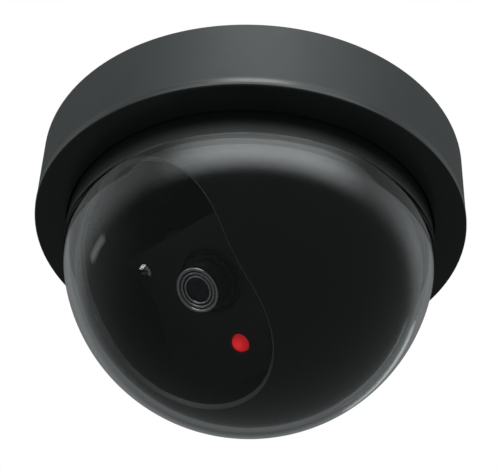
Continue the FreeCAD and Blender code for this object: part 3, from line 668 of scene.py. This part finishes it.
def cross_head(mesh, at):
    """Domed screw head with a cross recess, on the faceplate, with its plain shank below it."""
    segments = 48
    shank = FACE_SCREW_SHANK_R / FACE_SCREW_HEAD_R
    rows = []
    for ring in (0.0, 0.12, 0.24, 0.36, 0.5, 0.64, 0.78, 0.9, 0.97, 1.0):
        dome = HEAD_RIM + (1 - HEAD_RIM) * math.sqrt(max(0.0, 1 - ring ** 2.6))
        row = []
        for k in range(segments if ring else 1):
            turn = 2 * math.pi * k / segments
            x = ring * math.cos(turn)
            y = ring * math.sin(turn)
            top = FACE_SCREW_HEAD_H * dome
            in_arm = min(abs(x), abs(y)) < RECESS_HALF and max(abs(x), abs(y)) < RECESS_REACH
            if in_arm:
                top -= FACE_SCREW_HEAD_H * RECESS_DEPTH
            row.append((x, y, top))
        rows.append(row)
    skirt = ((1.0, 0.0), (shank, 0.0), (shank, -FACE_SCREW_LENGTH), (0.0, -FACE_SCREW_LENGTH))
    for ring, top in skirt:
        row = []
        for k in range(segments if ring else 1):
            turn = 2 * math.pi * k / segments
            row.append((ring * math.cos(turn), ring * math.sin(turn), top))
        rows.append(row)
    made = []
    for row in rows:
        points = [(at[0] + x * FACE_SCREW_HEAD_R, at[1] + y * FACE_SCREW_HEAD_R, PLATE_REACH + top)
                  for x, y, top in row]
        made.append([mesh.verts.new(Vector(point) * MM) for point in points])
    join_rows(mesh, made, closed_across=False)


def faceplate_screws_piece():
    mesh = bmesh.new()
    for side in (-1, 1):
        cross_head(mesh, (side * FACE_SCREW_X, FACE_SCREW_UP))
    finished("plate_screws", mesh, "camera_module", ["faceplate_screws"], "nickel_screw",
             module_place(), 30.0)


def led_piece():
    """Round-nosed lamp with a flange and two leads."""
    mesh = bmesh.new()
    centre = (0.0, LED_TIP - LED_R)
    back = LED_TIP - LED_LENGTH
    flange = back + LED_FLANGE_T
    outline = arc_points(centre, LED_R, 90, 0, 20)
    outline += rounded([(LED_R, flange, 0.1), (LED_FLANGE_R, flange, 0.15),
                        (LED_FLANGE_R, back, 0.15)])
    outline += [Vector((0.0, back))]
    outline[0].x = 0.0
    lathe(mesh, outline, 64)
    lead_top = back + 0.1
    for side in (-1, 1):
        lathe(mesh, rounded([
            (LED_LEAD_R, LED_LEAD_END, 0.08), (LED_LEAD_R, lead_top, 0.0),
            (0.0, lead_top, 0.0), (0.0, LED_LEAD_END, 0.0)]), 16, (side * LED_LEAD_X, 0.0))
    finished("lamp", mesh, "camera_module", ["status_led"], "led_red",
             module_place(LED_X, -LED_DROP))


# ---- lens --------------------------------------------------------------------------------------
def lens_pieces():
    """Black lens tube, bright rings on its front and the glass inside them."""
    place = module_place()
    seat = LENS_REACH - LENS_SEAT_DEPTH
    glass_back = LENS_REACH - LENS_GLASS_BACK
    head_back = HOLDER_FRONT + 2.5
    face = LENS_REACH - 1.0

    barrel = [(LENS_R, LENS_BACK, 0.2), (LENS_R, head_back, 0.0), (LENS_HEAD_R, head_back, 0.1)]
    for groove in range(5):
        low = HOLDER_FRONT + 3.6 + 0.8 * groove
        floor = LENS_HEAD_R - 0.25
        barrel += [(LENS_HEAD_R, low, 0.08), (floor, low + 0.15, 0.05),
                   (floor, low + 0.3, 0.05), (LENS_HEAD_R, low + 0.45, 0.08)]
    barrel += [(LENS_HEAD_R, face, 0.15), (LENS_SEAT_R, face, 0.05),
               (LENS_SEAT_R, seat, 0.0), (LENS_GLASS_R, seat, 0.0),
               (LENS_GLASS_R, glass_back, 0.0), (LENS_BORE_R, glass_back, 0.1),
               (LENS_BORE_R, 17.0, 0.1), (4.4, 17.0, 0.1), (4.4, LENS_BACK, 0.1)]
    mesh = bmesh.new()
    lathe(mesh, rounded(barrel, 3), 128)
    finished("lens_tube", mesh, "lens", ["lens_barrel"], "lens_black", place)

    ring = [Vector((LENS_SEAT_R - 0.02, seat)), Vector((LENS_SEAT_R - 0.02, face + 0.02)),
            Vector((LENS_HEAD_R - 0.1, face + 0.02))]
    for radius, depth, half in TRIM_RINGS:
        ring += arc_points((radius, LENS_REACH - depth), half, 0, 180, 12)
        ring += [Vector((radius - half - 0.03, LENS_REACH - TRIM_GROOVE_DEPTH))]
    ring += [Vector((3.2, seat))]
    mesh = bmesh.new()
    lathe(mesh, ring, 128)
    finished("lens_trim", mesh, "lens", ["lens_front_ring"], "lens_metal", place)

    ball = (LENS_GLASS_R ** 2 + LENS_BULGE ** 2) / (2 * LENS_BULGE)
    top = seat + LENS_BULGE - 0.35
    half_turn = math.degrees(math.asin(LENS_CLEAR_R / ball))
    glass = arc_points((0.0, top - ball), ball, 90, 90 - half_turn, 24)
    glass += [Vector((LENS_GLASS_R - 0.1, seat - 0.2)),
              Vector((LENS_GLASS_R - 0.1, glass_back + 0.1)), Vector((0.0, glass_back + 0.1))]
    glass[0].x = 0.0
    mesh = bmesh.new()
    lathe(mesh, glass, 96)
    finished("lens_glass_front", mesh, "lens", ["lens_front_element"], "lens_glass", place)


def polar(radius, degrees):
    """Point of an outline by its distance and direction from the axis."""
    turn = math.radians(degrees)
    return Vector((radius * math.cos(turn), radius * math.sin(turn)))


def holder_pieces():
    """Ribbed tube on a square base that holds the lens, and its notched lock ring."""
    place = module_place()
    mesh = bmesh.new()
    holder = [(HOLDER_R, HOLDER_SEAT + 0.8, 0.1)]
    for groove in range(6):
        low = 15.0 + 1.0 * groove
        floor = HOLDER_R - 0.2
        holder += [(HOLDER_R, low, 0.08), (floor, low + 0.2, 0.05),
                   (floor, low + 0.4, 0.05), (HOLDER_R, low + 0.6, 0.08)]
    holder += [(HOLDER_R, HOLDER_FRONT, 0.3), (HOLDER_BORE_R, HOLDER_FRONT, 0.15),
               (HOLDER_BORE_R, HOLDER_SEAT + 1.0, 0.0),
               (HOLDER_WINDOW_R, HOLDER_SEAT + 1.0, 0.0),
               (HOLDER_WINDOW_R, HOLDER_SEAT, 0.0), (HOLDER_R, HOLDER_SEAT, 0.0)]
    lathe(mesh, rounded(holder, 3), 128)
    half = HOLDER_BASE_HALF
    base = [(-half, -half, 1.0), (half, -half, 1.0), (half, half, 1.0), (-half, half, 1.0)]
    window = circle(0.0, 0.0, HOLDER_WINDOW_R, 48)
    plate_with_holes(mesh, rounded(base, 4), [window], HOLDER_BASE_BACK, HOLDER_BASE_FRONT, 0.3)
    finished("lens_mount", mesh, "camera_module", ["lens_holder"], "lens_black", place)

    # grip of the lock ring: the angles of one notch from its middle, with their radii
    notch = ((-10.0, LOCK_R), (-5.5, LOCK_R), (-3.5, LOCK_NOTCH_R),
             (3.5, LOCK_NOTCH_R), (5.5, LOCK_R), (10.0, LOCK_R))
    outline = []
    for step in range(12):
        for aside, radius in notch:
            outline.append(polar(radius, 30.0 * step + aside))
    mesh = bmesh.new()
    plate_with_holes(mesh, outline, [circle(0.0, 0.0, HOLDER_BORE_R)],
                     HOLDER_FRONT + 0.1, HOLDER_FRONT + 2.2, 0.25)
    finished("lens_lock", mesh, "camera_module", ["lens_lock_ring"], "lens_black", place)


cover_piece()
bezel_piece()
dome_piece()
liner_piece()
faceplate_piece()
faceplate_screws_piece()
led_piece()
lens_pieces()
holder_pieces()


# ---- light -------------------------------------------------------------------------------------
SKY_TILT_BACK = 0.05      # the soft ceiling reaches lower behind the object than before it
SKY_TILT_LEFT = 0.02
SKY_TURN = 6.0            # degrees past the camera's azimuth, for the middle of the bright side
SKY_FROM = 0.12           # sine of the elevation where the soft ceiling begins
SKY_FULL = 0.40
SKY_DIM_FROM = math.sin(math.radians(31.0))
SKY_DIM_FULL = math.sin(math.radians(48.0))
SKY_DIM = 0.45            # share of the light taken away overhead
SKY_FRONT = 1.9
SKY_SIDE = 0.26
SKY_BACK = 0.11
SKY_LOW = 0.075           # all round, from below too
LEFT_GLOW = 0.06
# where each part of the sky fades from nothing to full, as shares of a direction
FRONT_FADE = (0.42, 1.0)
SIDE_FADE = (-0.8, -0.2)
GLOW_ASIDE = (0.3, 0.9)
GLOW_FACING = (0.35, -0.15)
GLOW_HEIGHT = (-0.5, 0.2)
LIGHT_TONE = (0.94, 1.0, 1.0)
SOFTBOX_DISTANCE = 0.8      # metres, like the sizes below
# name: azimuth from the camera and elevation in degrees, width, height, radiance
SOFTBOXES = {
    "key_softbox": (0.0, 48.5, 0.32, 0.10, 7.2),
    "left_strip": (-99.0, 6.0, 0.20, 0.05, 0.6),
    "rear_strip": (152.0, 15.0, 0.36, 0.05, 0.4),
    "glint": (-75.0, -23.0, 0.045, 0.014, 10.0),
}


def studio_light():
    """Soft light from above, brighter behind the camera; the camera itself sees plain white."""
    world = bpy.data.worlds.new("studio")
    bpy.context.scene.world = world
    world.use_nodes = True
    tree = world.node_tree
    tree.nodes.clear()

    def add(kind, **settings):
        node = tree.nodes.new(kind)
        for key, value in settings.items():
            setattr(node, key, value)
        return node

    def calc(operation, first, second=0.0):
        node = add("ShaderNodeMath", operation=operation)
        for slot, value in enumerate((first, second)):
            if isinstance(value, (int, float)):
                node.inputs[slot].default_value = value
            else:
                tree.links.new(value, node.inputs[slot])
        return node.outputs[0]

    def step(value, low, high):
        node = add("ShaderNodeMapRange", interpolation_type="SMOOTHSTEP")
        node.inputs["From Min"].default_value = low
        node.inputs["From Max"].default_value = high
        tree.links.new(value, node.inputs["Value"])
        return node.outputs["Result"]

    axes = add("ShaderNodeSeparateXYZ")
    tree.links.new(add("ShaderNodeTexCoord").outputs["Generated"], axes.inputs[0])
    x, y, z = axes.outputs
    turn = math.radians(VIEW_AZIMUTH + SKY_TURN)
    towards = calc("ADD", calc("MULTIPLY", x, math.sin(turn)),
                   calc("MULTIPLY", y, -math.cos(turn)))
    leftwards = calc("ADD", calc("MULTIPLY", x, -math.cos(turn)),
                     calc("MULTIPLY", y, -math.sin(turn)))
    flat = calc("SQRT", calc("SUBTRACT", 1.0001, calc("MULTIPLY", z, z)))
    lifted = calc("ADD", calc("SUBTRACT", z, calc("MULTIPLY", towards, SKY_TILT_BACK)),
                  calc("MULTIPLY", leftwards, SKY_TILT_LEFT))
    facing = calc("DIVIDE", towards, flat)
    front = calc("MULTIPLY", step(facing, *FRONT_FADE), SKY_FRONT)
    side = calc("MULTIPLY", step(facing, *SIDE_FADE), SKY_SIDE)
    ring = calc("ADD", calc("ADD", front, side), SKY_BACK)
    rise = step(lifted, SKY_FROM, SKY_FULL)
    fall = calc("SUBTRACT", 1.0, calc("MULTIPLY", step(z, SKY_DIM_FROM, SKY_DIM_FULL), SKY_DIM))
    radiance = calc("ADD", calc("MULTIPLY", calc("MULTIPLY", rise, fall), ring), SKY_LOW)
    beside = calc("MULTIPLY", step(leftwards, *GLOW_ASIDE), step(facing, *GLOW_FACING))
    glow = calc("MULTIPLY", calc("MULTIPLY", beside, step(z, *GLOW_HEIGHT)), LEFT_GLOW)
    radiance = calc("ADD", radiance, glow)
    seen = add("ShaderNodeLightPath").outputs["Is Camera Ray"]
    strength = add("ShaderNodeMix", data_type="FLOAT")
    tree.links.new(seen, strength.inputs["Factor"])
    tree.links.new(radiance, strength.inputs["A"])
    strength.inputs["B"].default_value = 1.0
    tone = add("ShaderNodeMix", data_type="RGBA")
    tree.links.new(seen, tone.inputs["Factor"])
    tone.inputs["A"].default_value = (*LIGHT_TONE, 1.0)
    tone.inputs["B"].default_value = (1.0, 1.0, 1.0, 1.0)
    background = add("ShaderNodeBackground")
    tree.links.new(tone.outputs["Result"], background.inputs["Color"])
    tree.links.new(strength.outputs["Result"], background.inputs["Strength"])
    tree.links.new(background.outputs[0], add("ShaderNodeOutputWorld").inputs["Surface"])


def softbox(name, azimuth, elevation, width, height, radiance):
    """Rectangular lamp aimed at the dome, placed by its direction from the camera's azimuth."""
    turn = math.radians(VIEW_AZIMUTH + azimuth)
    rise = math.radians(elevation)
    away = Vector((math.sin(turn) * math.cos(rise), -math.cos(turn) * math.cos(rise),
                   math.sin(rise)))
    data = bpy.data.lights.new(name, "AREA")
    data.shape = "RECTANGLE"
    data.color = LIGHT_TONE
    data.size = width
    data.size_y = height
    data.energy = radiance * math.pi * width * height
    lamp = bpy.data.objects.new(name, data)
    bpy.context.scene.collection.objects.link(lamp)
    lamp.location = PIVOT * MM + away * SOFTBOX_DISTANCE
    lamp.rotation_mode = "QUATERNION"
    lamp.rotation_quaternion = (-away).to_track_quat("-Z", "Y")


studio_light()
for lamp_name, settings in SOFTBOXES.items():
    softbox(lamp_name, *settings)


# ---- floor and camera --------------------------------------------------------------------------
FLOOR_Z = -0.95
FLOOR_HALF = 25.0


def pale_floor():
    mesh = bpy.data.meshes.new("floor")
    corners = [(x * FLOOR_HALF, y * FLOOR_HALF, FLOOR_Z)
               for x, y in ((-1, -1), (1, -1), (1, 1), (-1, 1))]
    mesh.from_pydata(corners, [], [(0, 1, 2, 3)])
    floor = bpy.data.objects.new("floor", mesh)
    bpy.context.scene.collection.objects.link(floor)
    paint = moulded("floor_paint", (0.80, 0.80, 0.79), (0.84, 0.84, 0.83), 0.6, grain_scale=300.0)
    mesh.materials.append(paint.material)
    floor.visible_diffuse = False
    floor.visible_glossy = False
    floor.visible_transmission = False


def picture_camera():
    data = bpy.data.cameras.new("camera")
    data.lens = LENS_MM
    data.sensor_width = SENSOR_MM
    data.clip_start = 0.01
    camera = bpy.data.objects.new("camera", data)
    bpy.context.scene.collection.objects.link(camera)
    turn = math.radians(VIEW_AZIMUTH)
    outward = Vector((math.sin(turn), -math.cos(turn), 0.0))
    camera.location = (outward * VIEW_OUT - Vector((0, 0, VIEW_DROP))) * MM
    pitch = math.radians(VIEW_PITCH)
    look = -outward * math.cos(pitch) + Vector((0, 0, math.sin(pitch)))
    camera.rotation_mode = "QUATERNION"
    upright = look.to_track_quat("-Z", "Y")
    roll = Matrix.Rotation(math.radians(VIEW_ROLL), 3, look)
    camera.rotation_quaternion = (roll.inverted() @ upright.to_matrix()).to_quaternion()
    bpy.context.scene.camera = camera


pale_floor()
picture_camera()
bpy.context.scene.view_settings.view_transform = "Standard"
